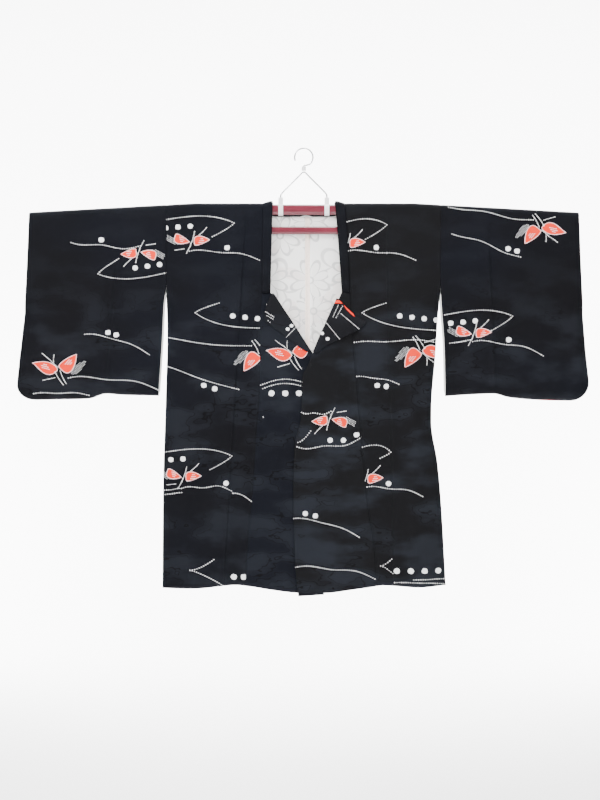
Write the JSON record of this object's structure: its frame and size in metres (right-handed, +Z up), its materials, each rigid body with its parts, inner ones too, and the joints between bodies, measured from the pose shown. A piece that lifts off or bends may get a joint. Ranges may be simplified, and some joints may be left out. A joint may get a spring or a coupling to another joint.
{
  "type": "michiyuki coat on kimono hanger",
  "caption": "Black hip-length kimono coat with coral leaf and white stitched-dot pattern, hanging open at the neck on a two-bar telescoping hanger.",
  "frame": {"origin": "the point under the hanger's hook that rests on a rail", "axes": "X runs along the sleeves and the hanger's bars with the wearer's left at +X, -Y is the front of the coat, +Z is up"},
  "size_m": [1.3572, 0.0614, 1.0605],
  "materials": {
    "coat_cloth": "dull black woven silk with tone-on-tone clouds, coral leaves and white dots",
    "lining_cloth": "off-white figured silk",
    "white_cord": "white cord",
    "maroon_plastic": "glossy maroon",
    "white_plastic": "smooth white",
    "plated_wire": "plated steel wire"
  },
  "bodies": {
    "root": {"body_right": "coat_cloth", "body_left": "coat_cloth", "front_panel_right": "coat_cloth", "front_panel_left": "coat_cloth", "facing_left": "coat_cloth", "lapel_right": "coat_cloth", "lapel_left": "coat_cloth", "neck_band": "coat_cloth", "sleeve_right": "coat_cloth", "sleeve_left": "coat_cloth", "lining_right": "lining_cloth", "lining_left": "lining_cloth", "sleeve_lining_right": "lining_cloth", "sleeve_lining_left": "lining_cloth", "hanging_loop": "white_cord", "upper_bar": "maroon_plastic", "lower_bar": "maroon_plastic", "rod_right": "maroon_plastic", "rod_left": "maroon_plastic", "rod_cap_right": "maroon_plastic", "rod_cap_left": "maroon_plastic", "bracket_right": "maroon_plastic", "bracket_left": "maroon_plastic", "bail_band_right": "white_plastic", "bail_band_left": "white_plastic", "hook_collar": "white_plastic", "bail_wire": "plated_wire", "hook": "plated_wire"}
  },
  "joints": []
}
